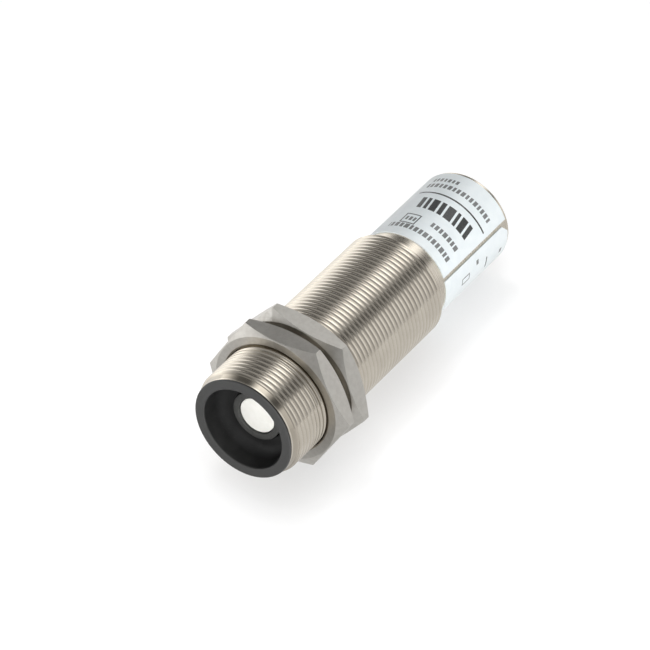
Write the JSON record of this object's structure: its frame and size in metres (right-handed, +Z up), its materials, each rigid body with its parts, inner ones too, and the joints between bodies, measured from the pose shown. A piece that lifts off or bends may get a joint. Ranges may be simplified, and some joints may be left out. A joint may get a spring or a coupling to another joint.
{
  "type": "ultrasonic level sensor",
  "caption": "Threaded metal barrel sensor with a black recessed horn and white sounding face in front, hexagon lock nuts and a wrapped label on its plain rear sleeve.",
  "frame": {"origin": "middle of the sensing face, the plane of the horn's rim, on the barrel's axis", "axes": "+X along the barrel out of the sensing face, +Z up as the sensor lies on a corner of each nut"},
  "size_m": [0.1075, 0.0414, 0.0376],
  "materials": {
    "barrel_metal": "turned and nickel bright, fine thread",
    "nut_metal": "satin, drawn flats",
    "horn_plastic": "moulded satin black",
    "boot_rubber": "matt",
    "black_rubber": "matt",
    "matching_white": "fine-grained matt white",
    "piezo_ceramic": "silvered ceramic",
    "damping_foam": "open foam",
    "carrier_plastic": "moulded",
    "tinned_wire": "tinned",
    "board_laminate": "solder mask",
    "chip_plastic": "moulded",
    "ferrite_core": "ground ferrite",
    "can_metal": "drawn can",
    "header_plastic": "moulded",
    "plug_resin": "cast resin",
    "label_film": "satin film"
  },
  "bodies": {
    "sensor": {"barrel": "barrel_metal", "sensor_horn": "horn_plastic", "horn_seal": "black_rubber", "transducer_boot": "boot_rubber", "matching_layer": "matching_white", "piezo_disc": "piezo_ceramic", "backing_foam": "damping_foam", "transducer_retainer": "carrier_plastic", "transducer_lead_a": "tinned_wire", "transducer_lead_b": "tinned_wire", "board_carrier": "carrier_plastic", "circuit_board": "board_laminate", "temperature_sensor": "chip_plastic", "pulse_transformer": "ferrite_core", "driver_chip": "chip_plastic", "amplifier_chip": "chip_plastic", "controller_chip": "chip_plastic", "capacitor_a": "can_metal", "capacitor_b": "can_metal", "crystal": "can_metal", "cable_header": "header_plastic", "rear_plug": "plug_resin", "cable_bushing": "black_rubber", "label": "label_film"},
    "front_lock_nut": {"front_nut": "nut_metal"},
    "rear_lock_nut": {"rear_nut": "nut_metal"}
  },
  "joints": [
    {"name": "front_nut_travel", "type": "slide", "parent": "sensor", "child": "front_lock_nut", "axis": [1, 0, 0], "range_m": [-0.0015, 0.012]},
    {"name": "rear_nut_travel", "type": "slide", "parent": "sensor", "child": "rear_lock_nut", "axis": [-1, 0, 0], "range_m": [0, 0.0405]}
  ]
}
